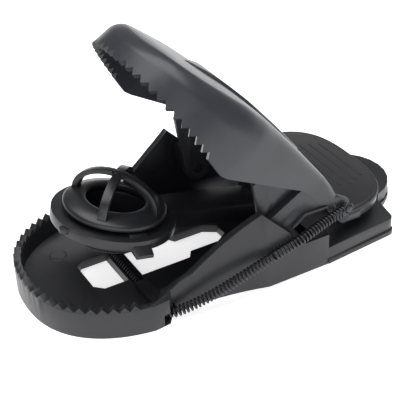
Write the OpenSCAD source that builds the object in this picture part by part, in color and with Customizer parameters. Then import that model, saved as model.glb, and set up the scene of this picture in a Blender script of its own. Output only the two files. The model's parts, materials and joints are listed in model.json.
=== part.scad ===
// Snap mouse trap, drawn set. A toothed jaw with a foot pedal swings on two pins in a toothed tray.
// One long extension spring crosses under the tray's bridge and runs up both sides to the jaw.
// A baited trigger holds the jaw open. +X is across, -Y is the mouth, +Z is up.
// Places along the trap are given as distances from the tip of the bowl.

/* [Tray] */
// Length from the tip of the bowl to the tip of the tail
tray_l = 99; // [94:0.5:125]
// Width across the straight sides
tray_w = 46.6; // [44.6:0.2:60]
// Width across the toothed bowl
bowl_w = 47.2; // [45:0.2:60]
// Reach of the bowl, from its widest line to its tip
bowl_reach = 29.5; // [27:0.5:32]
// Squareness of the bowl's plan: 2 is an ellipse
bowl_power = 2.36; // [2:0.02:3]
// Width across the waist, where the spring lies
waist_w = 39.8; // [36:0.2:42]
// Place of the waist's front end
waist_from = 26.6; // [26:0.1:28]
// Place where the waist meets the straight sides
side_from = 50.5; // [49:0.5:54]
// Place of the step from the low wall to the rear deck
deck_from = 66.8; // [64:0.2:72]
// Distance from the tip of the tail to the deck's rear corners
tail_reach = 11.6; // [9:0.2:14]
// Radius of the round tail
tail_r = 11.6; // [9:0.2:14]
// Thickness of the floor
floor_t = 2.2; // [1.6:0.1:3]
// Thickness of the upright walls
wall_t = 1.7; // [1.2:0.1:2]
// Height of the bowl's rim, at the roots of its teeth
rim_h = 6.7; // [5.5:0.1:8]
// Height of the ears
ear_h = 20.3; // [17:0.1:22]
// Place of the tip of the ears
ear_at = 48.8; // [47:0.1:50]
// Height of the low wall behind the ears
low_h = 8.4; // [7.4:0.1:9.4]
// Height of the rear deck
deck_h = 4.6; // [4:0.1:5.2]
// Thickness of the plate that closes the deck from below
plate_t = 1.4; // [1:0.1:1.8]
// How far that plate stands out all round
plate_lip = 0.25; // [0:0.05:0.4]

/* [Teeth] */
// Angle from one tooth to the next, seen from the bowl's centre
tooth_step = 5; // [5:5:10]
// Height of a tooth
tooth_h = 1.3; // [0.8:0.1:1.8]

/* [Windows] */
// Half width of the windows in the floor
window_x = 6.1; // [5:0.1:7]
// Place of the front edge of the front window
window_from = 15; // [13:0.5:18]
// Place of the rear end of the rear window
window_to = 51.2; // [48:0.2:54]
// Half width of the rear window's narrow end
slot_x = 4; // [3:0.1:4.5]
// Place where the rear window gets narrow
slot_from = 40.6; // [38:0.2:44]

/* [Jaw] */
// Angle through which the jaw opens
open_angle = 60.5; // [50:0.5:62]
// Place of the jaw's hinge line
hinge_at = 55.1; // [53:0.1:57]
// Height of the jaw's hinge line
hinge_h = 9.4; // [8.6:0.1:10]
// Radius of the hinge pins
hinge_pin_r = 1.4; // [1:0.1:1.6]
// Thickness of the jaw's shell
shell_t = 1.4; // [1.2:0.1:2]
// Gap between the closed jaw's teeth and the tray's
mesh_gap = 0.35; // [0.3:0.05:0.6]
// Width across the jaw's cheeks, inside the ears
cheek_w = 41.2; // [38:0.2:41.4]
// Thickness of the cheek plates over the pedal's rails
cheek_t = 2; // [1.6:0.1:2.4]
// Height of the closed shell at its nose
nose_h = 15.3; // [14:0.1:17]
// Height of the closed shell at its rear edge
crown_h = 27.6; // [26:0.1:30]

/* [Pedal] */
// Width of the foot pedal
pedal_w = 40.6; // [38:0.2:41.2]
// Reach of the pedal's round rear end
pedal_reach = 17; // [15:0.5:18]
// Place of the pedal's front edge
pedal_from = 77.1; // [76:0.1:78]
// Height of the pedal's tread with the trap set
pedal_top = 10.7; // [10.2:0.1:12]
// Height of the pedal's skirt
pedal_deep = 3.4; // [2.6:0.1:3.6]
// Thickness of the tread piece
tread_t = 1.4; // [1:0.1:1.6]

/* [Trigger] */
// Tilt of the set trigger, front up
trigger_tilt = 13; // [10:0.5:14]
// Place of the trigger's pivot
pivot_at = 63; // [61:0.2:65]
// Height of the trigger's pivot
pivot_h = 7.1; // [6.4:0.1:8]
// Distance from the pivot to the middle of the dish
arm_l = 40.8; // [38:0.2:42]
// Radius of the dish
dish_r = 14.3; // [13:0.1:15]
// Thickness of the dish
dish_t = 2.3; // [1.6:0.1:3]
// Width of the arm
arm_w = 9.2; // [8:0.2:10]
// Radius of the trigger's pivot pin
pivot_pin_r = 1; // [0.8:0.1:1.3]

/* [Bait] */
// Radius of the bait cup
cup_r = 8.6; // [7.5:0.1:9]
// Depth of the bait cup under the dish
cup_deep = 4; // [3:0.1:4.2]
// Radius of the bait cap's ring
cap_r = 11.9; // [11:0.1:13]
// Radius of the bait cap's hole
cap_hole_r = 6.8; // [5:0.1:7.2]
// Height of the cage over the cap's ring
cage_h = 7.4; // [6:0.1:7.6]
// Width of a cage rib
rib_w = 2; // [1.4:0.1:2.6]

/* [Spring] */
// Outside diameter of the spring
spring_d = 2.6; // [2:0.1:2.8]
// Diameter of the spring's wire
wire_d = 0.55; // [0.4:0.05:0.6]

/* [Fits] */
// Radial clearance of a pin in its bore
pin_gap = 0.05; // [0.02:0.01:0.1]
// Clearance between pieces that move past each other
move_gap = 0.3; // [0.2:0.05:0.4]

/* [Hidden] */
$fn = 48;

// Y of a place given as a distance from the tip of the bowl
function at(s) = s - (tray_l + plate_lip) / 2;
bowl_y = at(bowl_reach);
waist_y = at(waist_from);
side_y = at(side_from);
deck_y = at(deck_from);
ear_y = at(ear_at);
hinge_y = at(hinge_at);
pivot_y = at(pivot_at);
tail_y = at(tray_l) - tail_r;
pedal_y = at(pedal_from);
half_step = tooth_step / 2;

// The spring's tunnel, which crosses the tray just in front of the waist
tunnel_d = spring_d + 0.2;
tunnel_skin = 0.4;
tunnel_y = waist_y - tunnel_d / 2 - tunnel_skin;
tunnel_z = 0.2 + tunnel_d / 2;
channel_x = 9.4;

// ---- Plan outlines -------------------------------------------------------------------------

// Point of the bowl's plan in the direction of angle u, pulled in by inset
function bowl_point(u, inset) =
    let (a = bowl_w / 2 - inset, b = bowl_reach - inset,
         r = pow(pow(abs(cos(u)) / a, bowl_power) + pow(abs(sin(u)) / b, bowl_power), -1 / bowl_power))
    [r * cos(u), bowl_y + r * sin(u)];

// Half width of the waist at y, which swells into the straight side
function waist_x(y, inset) =
    let (t = (y - waist_y) / (side_y - waist_y))
    waist_w / 2 + (tray_w - waist_w) / 2 * pow(max(t, 0), 2.2) - inset;

// Right half of the tray's plan, from the tip of the bowl to the tip of the tail
corner_x = tray_w / 2 - 1.6;
corner_y = at(tray_l) - tail_reach - 0.9;
last_front = 342;
function half_plan(inset) = concat(
    [for (u = [270 : half_step : last_front]) bowl_point(u, inset)],
    [let (p = bowl_point(last_front, inset)) [p[0] - 0.5, waist_y - 1.7 - inset],
     [waist_w / 2 + 1.2 - inset, waist_y - 0.5 - inset],
     [waist_w / 2 - inset, waist_y - inset]],
    [for (k = [1 : 8]) let (y = waist_y + (side_y - waist_y) * k / 8) [waist_x(y, inset), y]],
    [[tray_w / 2 - inset, deck_y]],
    [for (u = [0 : 30 : 90]) [corner_x - 2 - inset + 2 * cos(u), corner_y - 1 + 2 * sin(u) - inset]],
    [[tail_r + 1.7 - inset, corner_y + 2.1 - inset]],
    [for (u = [15 : 15 : 90]) [(tail_r - inset) * cos(u), tail_y + (tail_r - inset) * sin(u)]]);
function mirrored(half) = concat(half, [for (k = [len(half) - 2 : -1 : 1]) [-half[k][0], half[k][1]]]);

module plan(inset) polygon(mirrored(half_plan(inset)));

// A flat shape drawn in Y and Z, spread across the trap from x0 to x1
module across(x0, x1) {
    translate([x0, 0, 0]) rotate([90, 0, 90]) linear_extrude(x1 - x0) children();
}

module both_sides() {
    children();
    mirror([1, 0, 0]) children();
}

// ---- Tray ----------------------------------------------------------------------------------

// Side view of the walls: bowl rim, rising waist, ear, low wall and rear deck
module wall_profile() {
    polygon([[at(0) - 1, 0], [at(0) - 1, rim_h], [waist_y, rim_h],
             [waist_y + 0.24 * (ear_y - waist_y), rim_h + 0.16 * (ear_h - rim_h)],
             [waist_y + 0.55 * (ear_y - waist_y), rim_h + 0.53 * (ear_h - rim_h)],
             [waist_y + 0.76 * (ear_y - waist_y), rim_h + 0.76 * (ear_h - rim_h)],
             [ear_y, ear_h], [ear_y + 0.96 * (ear_h - low_h), low_h], [deck_y, low_h],
             [deck_y, deck_h], [at(tray_l) + 1, deck_h], [at(tray_l) + 1, 0]]);
}

module walls() {
    intersection() {
        linear_extrude(ear_h + 1) difference() {
            plan(0);
            plan(wall_t);
        }
        across(-tray_w, tray_w) wall_profile();
    }
}

// One tooth of the rim, standing on its root line
module tooth(u) {
    p = bowl_point(u, wall_t / 2);
    q = bowl_point(u + 0.5, wall_t / 2) - bowl_point(u - 0.5, wall_t / 2);
    half_w = norm(bowl_point(u + half_step, wall_t / 2) - p);
    translate([p[0], p[1], rim_h - 0.1]) rotate([90, 0, atan2(q[1], q[0])])
        translate([0, 0, -wall_t / 2 + 0.02]) linear_extrude(wall_t - 0.04)
            polygon([[-half_w, 0], [-half_w, 0.1], [0, tooth_h + 0.1], [half_w, 0.1], [half_w, 0]]);
}

module teeth() {
    for (u = [270 - 12 * tooth_step : tooth_step : 270 + 12 * tooth_step]) tooth(u);
}

module windows() {
    bridge_front = tunnel_y - tunnel_d / 2 - tunnel_skin;
    translate([0, 0, -1]) linear_extrude(floor_t + 2) {
        polygon([[-window_x, at(window_from) + 1.5], [1.5 - window_x, at(window_from)],
                 [window_x - 2, at(window_from)], [window_x, at(window_from) + 2],
                 [window_x, bridge_front], [-window_x, bridge_front]]);
        polygon([[-window_x, waist_y], [window_x, waist_y], [window_x, at(slot_from) - 1.4],
                 [slot_x, at(slot_from)], [slot_x, at(window_to) - 3], [slot_x - 2, at(window_to)],
                 [2 - slot_x, at(window_to)], [-slot_x, at(window_to) - 3],
                 [-slot_x, at(slot_from)], [-window_x, at(slot_from) - 1.4]]);
    }
}

// Low ridges over the floor that roof the two ends of the spring's tunnel
module tunnel_ridge() {
    half_w = tunnel_d / 2 + tunnel_skin;
    roof = tunnel_z + tunnel_d / 2 + 0.6;
    ridge_l = waist_w / 2 + 1 - channel_x;
    both_sides() translate([channel_x, tunnel_y - half_w, 0]) cube([ridge_l, 2 * half_w, roof]);
}

// Between the ridges the tunnel is an open channel, so that the spring can be laid in it
module tunnel_cut() {
    r = tunnel_d / 2;
    end_x = waist_w / 2 + 3;
    translate([-end_x, tunnel_y, tunnel_z]) rotate([0, 90, 0]) cylinder(r = r, h = 2 * end_x);
    translate([-channel_x, tunnel_y - r, tunnel_z]) cube([2 * channel_x, 2 * r, 4]);
    both_sides() translate([waist_w / 2 - 1.4, tunnel_y - r, tunnel_z - r])
        cube([4.5, waist_y - tunnel_y + r + 1, 2 * r]);
}

// Round boss inside the wall with a blind bore for a hinge pin
boss_r = hinge_pin_r + 1.6;
boss_in = cheek_w / 2 + move_gap;
hinge_out = tray_w / 2 - 0.5;
module hinge_boss() {
    translate([boss_in, hinge_y, hinge_h]) rotate([0, 90, 0])
        cylinder(r = boss_r, h = tray_w / 2 - wall_t / 2 - boss_in);
}

module hinge_bore() {
    translate([boss_in - 1, hinge_y, hinge_h]) rotate([0, 90, 0])
        cylinder(r = hinge_pin_r, h = hinge_out - boss_in + 1);
}

// Upright ear that carries one end of the trigger's pivot pin
post_in = arm_w / 2 + move_gap;
post_t = 1.8;
post_r = pivot_pin_r + 1.8;
module pivot_post() {
    across(post_in, post_in + post_t) {
        translate([pivot_y, pivot_h]) circle(post_r);
        polygon([[pivot_y - post_r, pivot_h], [pivot_y + post_r, pivot_h],
                 [pivot_y + post_r + 1.5, floor_t - 0.5], [pivot_y - post_r - 1.5, floor_t - 0.5]]);
    }
}

// Slanted rib inside each ear that guides the closing jaw
module guide_rib() {
    x_out = tray_w / 2 - wall_t / 2;
    across(x_out - wall_t / 2 - 0.7, x_out)
        polygon([[ear_y + 2.6, 15.6], [ear_y + 4.4, 15.6], [ear_y + 4.4, hinge_h + boss_r - 0.5],
                 [ear_y + 2.6, hinge_h + boss_r - 1]]);
}

module deck() {
    translate([0, 0, plate_t]) linear_extrude(deck_h - plate_t) intersection() {
        plan(0);
        translate([-tray_w, deck_y]) square([2 * tray_w, tray_l]);
    }
}

// Hollow under the deck, and the seat that the rear plate fills
module deck_hollow() {
    translate([0, 0, -1]) linear_extrude(deck_h - wall_t + 1) intersection() {
        plan(wall_t);
        translate([-tray_w, deck_y + wall_t]) square([2 * tray_w, tray_l]);
    }
    translate([-tray_w, deck_y, -1]) cube([2 * tray_w, tray_l, plate_t + 1]);
}

module tray() {
    color("#2b2c31") difference() {
        union() {
            linear_extrude(floor_t) plan(0);
            walls();
            teeth();
            tunnel_ridge();
            both_sides() hinge_boss();
            both_sides() pivot_post();
            both_sides() guide_rib();
            deck();
        }
        windows();
        tunnel_cut();
        both_sides() hinge_bore();
        across(-arm_w, arm_w) translate([pivot_y, pivot_h]) circle(pivot_pin_r);
        deck_hollow();
    }
}

module rear_plate() {
    color("#26272b") linear_extrude(plate_t) intersection() {
        plan(-plate_lip);
        translate([-tray_w, deck_y]) square([2 * tray_w, tray_l]);
    }
}

// ---- Jaw, drawn closed and then swung open --------------------------------------------------

module swung_open() {
    translate([0, hinge_y, hinge_h]) rotate([-open_angle, 0, 0]) translate([0, -hinge_y, -hinge_h])
        children();
}

jaw_low = rim_h + mesh_gap;
jaw_corner_y = waist_y - 0.3;
cheek_x = cheek_w / 2;
rear_edge_y = hinge_y - 3;
ridge_y = bowl_y - 16;

// Height of the closed shell's ridge line at y
function ridge_z(y) = lookup(y, [
    [at(0.3), nose_h - 1.6], [at(2.6), nose_h + 0.3], [at(9.5), nose_h + 2.5],
    [at(21), nose_h + 6.6], [at(28), nose_h + 8.4], [at(39), crown_h - 1.9], [rear_edge_y, crown_h]]);
// Radius of the rounded shoulder between the shell's side and its top
function shoulder_r(y) = lookup(y, [[at(0), 2], [at(12), 4.5], [at(28), 6.5], [rear_edge_y, 2]]);
// Height of the shell's lower edge at y, behind the toothed rim
function edge_z(y) = lookup(y, [
    [jaw_corner_y, jaw_low + 0.1], [ear_y - 4.3, ear_h - 2.1], [ear_y - 0.8, ear_h + 0.1],
    [hinge_y, ear_h + 1.3], [hinge_y + 3, ear_h + 4]]);

// Rim points: the left side from the rear, round the nose, and the right side to the rear
front_stations = 32;
side_stations = 7;
side_end_y = hinge_y + 3;
function side_point(k, inset) =
    let (t = k / side_stations, y = jaw_corner_y + (side_end_y - jaw_corner_y) * t,
         wide = bowl_w / 2 - 0.4)
    [wide + (cheek_x - wide) * min(1, t * 1.35) - inset, y, edge_z(y)];
function front_point(m, inset) =
    let (p = bowl_point(270 + m * half_step, inset + 0.3 * abs(m) / front_stations),
         cut = abs(m) < 28 && m % 2 == 0)
    [p[0], p[1], jaw_low + (cut ? tooth_h : 0)];
function rim(inset) = concat(
    [for (k = [side_stations : -1 : 1]) let (p = side_point(k, inset)) [-p[0], p[1], p[2]]],
    [for (m = [-front_stations : front_stations]) front_point(m, inset)],
    [for (k = [1 : side_stations]) side_point(k, inset)]);

// Place where a rib of the shell that starts at rim point p meets the ridge line
function spine_y(y) = y > rear_edge_y ? rear_edge_y : y < bowl_y ? bowl_y + (y - bowl_y) * 0.55 : y;

rows = 6;
// One point of the shell's skin over rim point p: row 0 is the rim, and the last row is by the ridge
function skin_point(p, row, drop) =
    let (s = [0, spine_y(p[1])], r = shoulder_r(p[1]), beta = [0, 0, 30, 60, 90, 90][row],
         full = norm([p[0], p[1] - s[1]]), d = row == 5 ? full * 0.6 : r * (1 - cos(beta)),
         w = pow(1 - d / full, 1), q = [s[0] + (p[0] - s[0]) * w, s[1] + (p[1] - s[1]) * w],
         sag = 0.9 * pow(w, 3), top = ridge_z(q[1]) - sag - drop)
    row == 0 ? p : [q[0], q[1], max(p[2] + 0.4 + 0.1 * row, top - r + r * sin(beta))];

function skin(inset, drop) = let (line = rim(inset), n = len(line)) concat(
    [for (row = [0 : rows - 1]) for (p = line) skin_point(p, row, drop)],
    [for (k = [0 : (n - 1) / 2]) [0, spine_y(line[k][1]), ridge_z(spine_y(line[k][1])) - drop]]);

// The shell between an outer and an inner skin, closed along the rim and the rear edge
module shell() {
    outer = skin(0, 0);
    inner = skin(shell_t, shell_t);
    n = len(rim(0));
    mid = (n - 1) / 2;
    count = len(outer);
    function id(row, k) = row * n + k;
    function spine(k) = rows * n + (k <= mid ? k : n - 1 - k);
    up = concat(
        [for (row = [0 : rows - 2]) for (k = [0 : n - 2]) each
            [[id(row, k), id(row + 1, k), id(row + 1, k + 1)],
             [id(row, k), id(row + 1, k + 1), id(row, k + 1)]]],
        [for (k = [0 : n - 2]) each k < mid
            ? [[id(rows - 1, k), spine(k), spine(k + 1)],
               [id(rows - 1, k), spine(k + 1), id(rows - 1, k + 1)]]
            : [[id(rows - 1, k), spine(k), id(rows - 1, k + 1)],
               [spine(k), spine(k + 1), id(rows - 1, k + 1)]]]);
    down = [for (f = up) [f[0] + count, f[2] + count, f[1] + count]];
    rim_strip = [for (k = [0 : n - 2]) each
        [[id(0, k), id(0, k + 1), id(0, k + 1) + count],
         [id(0, k), id(0, k + 1) + count, id(0, k) + count]]];
    back = concat([for (row = [0 : rows - 1]) id(row, 0)], [spine(0)],
                  [for (row = [rows - 1 : -1 : 0]) id(row, n - 1)]);
    back_strip = [for (j = [0 : len(back) - 2]) each
        [[back[j], back[j] + count, back[j + 1] + count], [back[j], back[j + 1] + count, back[j + 1]]]];
    polyhedron(concat(outer, inner), concat(up, down, rim_strip, back_strip), convexity = 6);
}

// Cheek plate with the hinge bore, drawn closed. It is thin where it dips inside the tray's waist,
// and thick where it is clear of the waist or stands inside the shell.
rail_y = pedal_y - 5.2;
slim_x = 18.5;
module cheek_outline() {
    r = boss_r + 0.4;
    translate([hinge_y, hinge_h]) circle(r);
    polygon([[hinge_y - 0.53 * r, hinge_h - 0.85 * r], [ear_y - 10.4, hinge_h + 2.7],
             [ear_y - 10.4, ear_h - 3.6], [ear_y - 2, ear_h + 1.2], [hinge_y, ear_h + 3.4],
             [hinge_y + 3.2, ear_h + 4.6], [hinge_y + 2.4, ear_h + 3], [hinge_y - 0.9, hinge_h + 8.1],
             [hinge_y - 0.5, hinge_h + r]]);
}
module cheek() {
    x_in = slim_x - 1.3;
    swung_open() difference() {
        union() {
            across(x_in, slim_x) cheek_outline();
            across(slim_x - 0.1, cheek_x - 0.2) intersection() {
                cheek_outline();
                polygon([[ear_y - 1, 0], [ear_y - 1, ear_h + 0.2], [ear_y - 4.3, ear_h - 1.9],
                         [jaw_corner_y, jaw_low + 0.4], [jaw_corner_y, crown_h], [deck_y, crown_h],
                          [deck_y, 0]]);
            }
        }
        translate([x_in - 1, hinge_y, hinge_h]) rotate([0, 90, 0])
            cylinder(r = hinge_pin_r + pin_gap, h = cheek_x - x_in + 2);
    }
}

// Rail that joins a cheek to the pedal, drawn with the jaw open
module rail() {
    low = pedal_top - pedal_deep;
    across(cheek_x - 3.4, pedal_w / 2 - 0.1)
        polygon([[rail_y, low + 1], [rail_y + 1, low], [pedal_y + 1, low],
                 [pedal_y + 1, pedal_top - tread_t], [rail_y + 1.6, pedal_top - tread_t]]);
    across(cheek_x - cheek_t, cheek_x - 0.2)
        polygon([[rail_y, low + 1], [rail_y + 2.6, low + 1], [rail_y + 2.6, hinge_h + 4.4],
                 [hinge_y + 15.9, hinge_h + 6.4], [hinge_y + 12, hinge_h + 6.4],
                  [hinge_y + 12, hinge_h + 5]]);
}

// Side peg on each rail that the spring's end eye hooks over
peg_r = 0.9;
peg_y = rail_y + 1.3;
peg_z = pedal_top + 1.7;
peg_out = cheek_x + 1.7;
module peg() {
    translate([cheek_x - 1, peg_y, peg_z]) rotate([0, 90, 0]) cylinder(r = peg_r, h = peg_out - cheek_x + 1);
}

// Round bar between the cheeks that the trigger's nose stands against
bar_y = hinge_y + 13;
bar_h = hinge_h + 6.2;
module sear_bar() {
    translate([-slim_x, bar_y, bar_h]) rotate([0, 90, 0]) cylinder(r = 1.3, h = 2 * slim_x);
}

// Plan of the pedal, pulled in by inset
function pedal_half(inset) = concat(
    [[0, pedal_y - 3.6 + inset], [pedal_w / 2 - 4.4 - inset, pedal_y - 3.6 + inset],
     [pedal_w / 2 - 3.6 - inset, pedal_y - 4.2 + inset], [pedal_w / 2 - inset, pedal_y - 4.2 + inset]],
    [for (u = [5 : 8.5 : 90]) let (c = pow(cos(u), 0.7), s = pow(sin(u), 0.7))
        [(pedal_w / 2 - inset) * c, pedal_y - 4 + inset + (pedal_reach - 2 * inset) * s]]);
module pedal_plan(inset) polygon(mirrored(pedal_half(inset)));

// Skirt and underside frame of the pedal, drawn with the jaw open
module pedal_frame() {
    low = pedal_top - pedal_deep;
    slab = pedal_top - tread_t - low;
    front = pedal_y + 0.4;
    intersection() {
        translate([0, 0, low]) linear_extrude(slab) difference() {
            pedal_plan(0.35);
            pedal_plan(2.2);
        }
        translate([-pedal_w, front, 0]) cube([2 * pedal_w, 2 * pedal_reach, pedal_top]);
    }
    translate([0, 0, pedal_top - tread_t - 1.2]) linear_extrude(1.2) intersection() {
        pedal_plan(1);
        translate([-pedal_w, front]) square([2 * pedal_w, 2 * pedal_reach]);
    }
}

module jaw() {
    color("#34353b") union() {
        swung_open() shell();
        both_sides() {
            cheek();
            rail();
            peg();
        }
        sear_bar();
        pedal_frame();
    }
}

module pedal_tread() {
    groove_w = 0.7;
    color("#3f3d42") difference() {
        translate([0, 0, pedal_top - tread_t]) linear_extrude(tread_t) intersection() {
            pedal_plan(0);
            union() {
                translate([-pedal_w, pedal_y - 1.8]) square([2 * pedal_w, 2 * pedal_reach]);
                both_sides() translate([cheek_x - 3.4, rail_y + 2.65]) square([pedal_w / 4, pedal_reach]);
            }
        }
        for (k = [-2 : 2])
            translate([-pedal_w * 0.3, pedal_y + 4.5 + k * 2.2, pedal_top - 0.4])
                cube([pedal_w * 0.6, groove_w, 1]);
    }
}

module hinge_pin() {
    x_in = slim_x - 1.3;
    color("#2b2c31") translate([x_in, hinge_y, hinge_h]) rotate([0, 90, 0])
        cylinder(r = hinge_pin_r, h = hinge_out - x_in);
}

module hinge_pin_left() mirror([1, 0, 0]) hinge_pin();
module hinge_pin_right() hinge_pin();

// ---- Trigger, drawn level with its pivot at the origin and then tilted -----------------------

module tilted() translate([0, pivot_y, pivot_h]) rotate([-trigger_tilt, 0, 0]) children();

dish_low = -0.8;
dish_top = dish_low + dish_t;

// Finger wedge on the side of the dish
module dish_wedge() {
    translate([0, -arm_l - 2.1, 0]) rotate([90, 0, 0]) mirror([0, 0, 1]) linear_extrude(4.2)
        polygon([[dish_r - 3.6, dish_top + 0.5], [dish_r - 2.4, dish_top + 0.5],
                 [dish_r + 2, dish_low - 0.1], [dish_r + 2, dish_low - 0.9],
                 [dish_r - 0.6, dish_low - 0.5], [dish_r - 4.2, dish_low + 0.4]]);
}

module trigger() {
    arm_low = -2.6;
    hub_r = pivot_pin_r + 1.9;
    color("#303137") tilted() difference() {
        union() {
            translate([0, -arm_l, dish_low]) cylinder(r = dish_r, h = dish_t);
            both_sides() dish_wedge();
            translate([-arm_w / 2, -arm_l + dish_r - 2, arm_low])
                cube([arm_w, arm_l - dish_r + 2, dish_top - arm_low]);
            across(-arm_w / 2, arm_w / 2) circle(hub_r);
            // Nose that stands just short of the sear bar
            across(-3, 3) polygon([[-1.5, 0], [2.4, 0.6], [3.6, 7.4], [1.2, 7.4], [-1.5, dish_top]]);
            // Small lug on the front of the dish
            translate([3.7, -arm_l - dish_r + 0.6, dish_low + 0.7]) cylinder(r = 1.3, h = 1);
        }
        translate([0, -arm_l, arm_low - 1]) cylinder(r = cup_r + pin_gap, h = 12);
        across(-arm_w, arm_w) circle(pivot_pin_r + pin_gap);
    }
}

module trigger_pin() {
    reach = post_in + post_t;
    color("silver") translate([-reach, pivot_y, pivot_h]) rotate([0, 90, 0])
        cylinder(r = pivot_pin_r, h = 2 * reach);
}

// ---- Bait cup, cap and cage, drawn on the trigger's axes --------------------------------------

cap_low = dish_top + move_gap;
ring_low = cap_low + 0.7;
ring_t = 1.5;
ring_top = ring_low + ring_t;
cup_top = ring_low + 0.2;

module bait_cup() {
    color("#2e2f35") tilted() translate([0, -arm_l, 0]) difference() {
        union() {
            translate([0, 0, dish_low - cup_deep]) cylinder(r = cup_r, h = cup_top - dish_low + cup_deep);
            translate([0, 0, dish_low - move_gap - 0.9]) cylinder(r = cup_r + 1.5, h = 0.9);
        }
        translate([0, 0, dish_low - cup_deep + 1.2]) cylinder(r = cup_r - 1.2, h = cup_deep + dish_t + 3);
    }
}

// The cap grips the cup's upper rim, so that both turn together in the dish
module bait_cap() {
    neck_r = cap_r - 1.6;
    grip_r = cup_r - 0.03;
    color("#3a3b41") tilted() translate([0, -arm_l, 0]) rotate_extrude($fn = 64)
        polygon([[grip_r, cap_low], [neck_r, cap_low], [neck_r, ring_low], [cap_r, ring_low],
                 [cap_r, ring_top - 0.5], [cap_r - 0.5, ring_top], [cap_hole_r + 1, ring_top + 1],
                 [cap_hole_r, ring_top + 0.8], [cap_hole_r, ring_top - 0.4], [grip_r, ring_top - 0.6]]);
}

// Half arch from the ring to the crown of the cage, as a bent strip
module cage_arch() {
    foot = cap_r - 1;
    thick = 1.1;
    translate([0, rib_w / 2, 0]) rotate([90, 0, 0]) linear_extrude(rib_w)
        polygon(concat(
            [for (u = [0 : 9 : 180]) [foot * cos(u), cage_h * pow(sin(u), 0.85)]],
            [for (u = [180 : -9 : 0]) [(foot - 1.4) * cos(u), (cage_h - thick) * pow(sin(u), 0.85)]]));
}

cage_turn = 36;
module bait_cage() {
    color("#3a3b41") tilted() translate([0, -arm_l, ring_top]) union() {
        for (turn = [0, 101]) rotate([0, 0, cage_turn + turn]) cage_arch();
    }
}

// ---- Spring ---------------------------------------------------------------------------------

side_x = tray_w / 2 + spring_d / 2 + 0.2;
exit_x = waist_w / 2 + 0.9;
// Middle of the spring's right-hand run, from the tunnel to the peg on the jaw
run_path = [
    [exit_x, waist_y - 0.6, tunnel_z], [exit_x + 1.1, waist_y + 1.6, tunnel_z + 0.35],
    [exit_x + 2.5, waist_y + 9.5, tunnel_z + 2.6], [side_x, side_y - 1, hinge_h - 0.3],
    [side_x, side_y + 1.5, hinge_h + 0.4], [side_x - 0.15, hinge_y + 3.4, hinge_h + 1.9],
    [pedal_w / 2 + 2.4, pedal_y - 11, peg_z - 0.4], [peg_out - 0.5, peg_y - 2.4, peg_z - 0.15]];

module rod(p, q, r, sides = 48) {
    d = q - p;
    translate(p) rotate([0, acos(d[2] / norm(d)), atan2(d[1], d[0])])
        cylinder(r = r, h = norm(d), $fn = sides);
}

module spring_run() {
    r = spring_d / 2;
    color("#1f1f22") union() {
        for (k = [0 : len(run_path) - 2]) rod(run_path[k], run_path[k + 1], r, 12);
        for (k = [1 : len(run_path) - 2]) translate(run_path[k]) sphere(r = r, $fn = 12);
    }
}

module spring_cross() {
    color("#1f1f22") union() {
        rod([-exit_x + 1.3, tunnel_y, tunnel_z], [exit_x - 1.3, tunnel_y, tunnel_z], spring_d / 2);
    }
}

// Eye of wire round the peg
module spring_eye() {
    color("#1f1f22") translate([peg_out - 0.7, peg_y, peg_z]) rotate([0, 90, 0])
        rotate_extrude() translate([peg_r + 0.1 + wire_d / 2, 0]) circle(d = wire_d, $fn = 16);
}

module spring_left() mirror([1, 0, 0]) spring_run();
module spring_right() spring_run();
module spring_eye_left() mirror([1, 0, 0]) spring_eye();
module spring_eye_right() spring_eye();

tray();
rear_plate();
jaw();
pedal_tread();
hinge_pin_left();
hinge_pin_right();
trigger();
trigger_pin();
bait_cup();
bait_cap();
bait_cage();
spring_cross();
spring_left();
spring_right();
spring_eye_left();
spring_eye_right();
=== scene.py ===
"""Looks of a clamshell mouse trap: moulded plastic jaw, tray and trigger, and a black coil spring.

All sizes in the classes are in millimetres, in the part's own axes: +X across the trap, -Y towards the
toothed mouth, +Z up. Meshes are written in metres.
"""

import json
import logging
import math
from dataclasses import dataclass
from enum import Enum
from typing import Sequence

import bmesh
import bpy
from mathutils import Matrix, Vector

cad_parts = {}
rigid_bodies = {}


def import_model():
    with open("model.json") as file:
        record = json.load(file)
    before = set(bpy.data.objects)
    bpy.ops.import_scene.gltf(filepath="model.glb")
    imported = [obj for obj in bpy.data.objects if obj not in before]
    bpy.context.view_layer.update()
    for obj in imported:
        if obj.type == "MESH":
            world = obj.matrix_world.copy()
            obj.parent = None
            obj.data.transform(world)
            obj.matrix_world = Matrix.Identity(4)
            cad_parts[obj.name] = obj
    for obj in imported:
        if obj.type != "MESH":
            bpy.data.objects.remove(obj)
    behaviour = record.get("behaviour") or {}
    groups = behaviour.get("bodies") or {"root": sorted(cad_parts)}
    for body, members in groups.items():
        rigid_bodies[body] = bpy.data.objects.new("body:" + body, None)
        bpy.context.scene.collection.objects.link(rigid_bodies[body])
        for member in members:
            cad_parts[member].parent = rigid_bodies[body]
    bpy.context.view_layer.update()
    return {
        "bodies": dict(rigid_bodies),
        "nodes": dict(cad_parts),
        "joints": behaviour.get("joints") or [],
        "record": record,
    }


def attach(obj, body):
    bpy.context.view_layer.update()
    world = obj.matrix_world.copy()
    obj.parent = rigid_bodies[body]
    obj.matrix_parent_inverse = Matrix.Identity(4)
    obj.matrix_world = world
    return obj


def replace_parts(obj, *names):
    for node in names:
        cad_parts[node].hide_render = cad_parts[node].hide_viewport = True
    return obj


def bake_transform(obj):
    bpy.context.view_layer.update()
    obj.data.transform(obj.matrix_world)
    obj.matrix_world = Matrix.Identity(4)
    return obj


LOG = logging.getLogger("mouse_trap")
MM = 0.001
Point = tuple[float, float, float]
Flat = tuple[float, float]


# ---- Shader nodes -----------------------------------------------------------------------------


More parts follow.
